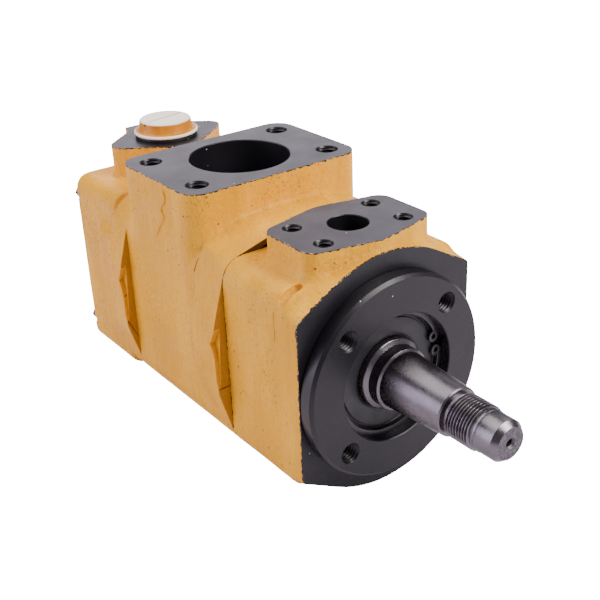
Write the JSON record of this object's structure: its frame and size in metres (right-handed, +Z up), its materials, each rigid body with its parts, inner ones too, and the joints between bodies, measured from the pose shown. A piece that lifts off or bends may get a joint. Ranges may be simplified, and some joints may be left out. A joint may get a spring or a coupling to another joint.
{
  "type": "hydraulic pump",
  "caption": "Tandem vane pump with flanged front body, suction housing and rear cover, tapered keyed shaft, top ports and a plugged rear outlet.",
  "frame": {"origin": "point where the shaft axis meets the mounting face, at the root of the pilot", "axes": "-Y along the shaft, out of the pump; +Z up, out of the ports; +X to the right seen from behind the pump"},
  "size_m": [0.1292, 0.3349, 0.1586],
  "materials": {
    "yellow_casting_paint": "semi-gloss golden ochre enamel over rough cast iron, machined faces semi-gloss black",
    "ground_shaft_steel": "dark ground steel with fine turning marks",
    "pin_steel": "ground steel",
    "spring_steel": "blackened spring steel",
    "black_rubber": "smooth black rubber",
    "bearing_steel": "polished bearing steel",
    "cage_brass": "satin",
    "hardened_cartridge_steel": "fine ground hardened steel",
    "bearing_bronze": "fine turned bronze",
    "black_bolt_steel": "black oxide",
    "amber_plastic": "translucent amber moulded plastic"
  },
  "bodies": {
    "housing": {"front_body": "yellow_casting_paint", "inlet_housing": "yellow_casting_paint", "rear_cover": "yellow_casting_paint", "shaft_seal": "black_rubber", "seal_spring": "pin_steel", "seal_snap_ring": "spring_steel", "bearing_outer_race": "bearing_steel", "front_pressure_plate": "bearing_bronze", "front_cam_ring": "hardened_cartridge_steel", "front_side_plate": "bearing_bronze", "front_dowels": "pin_steel", "rear_pressure_plate": "bearing_bronze", "rear_cam_ring": "hardened_cartridge_steel", "rear_side_plate": "bearing_bronze", "rear_dowels": "pin_steel", "rear_bush": "bearing_bronze", "front_joint_seal": "black_rubber", "rear_joint_seal": "black_rubber", "front_plate_seal": "black_rubber", "rear_plate_seal": "black_rubber", "body_bolts": "black_bolt_steel", "bolt_washers": "black_bolt_steel"},
    "shaft": {"drive_shaft": "ground_shaft_steel", "shaft_key": "pin_steel", "bearing_inner_race": "bearing_steel", "shaft_snap_ring": "spring_steel", "front_rotor": "hardened_cartridge_steel", "front_vanes": "hardened_cartridge_steel", "rear_rotor": "hardened_cartridge_steel", "rear_vanes": "hardened_cartridge_steel"},
    "ball_set": {"bearing_cage": "cage_brass", "bearing_balls": "bearing_steel"},
    "plug": {"outlet_plug": "amber_plastic", "plug_seal": "black_rubber"}
  },
  "joints": [
    {"name": "shaft_spin", "type": "hinge", "parent": "housing", "child": "shaft", "pos_m": [0, 0, 0], "axis": [0, -1, 0], "continuous": true},
    {"name": "ball_set_spin", "type": "hinge", "parent": "housing", "child": "ball_set", "pos_m": [0, 0, 0], "axis": [0, -1, 0], "continuous": true},
    {"name": "plug_lift", "type": "slide", "parent": "housing", "child": "plug", "axis": [0, 0, 1], "range_m": [0, 0.03]}
  ],
  "couplings": [
    {"joint": "ball_set_spin", "follows": "shaft_spin", "ratio": 0.398}
  ]
}
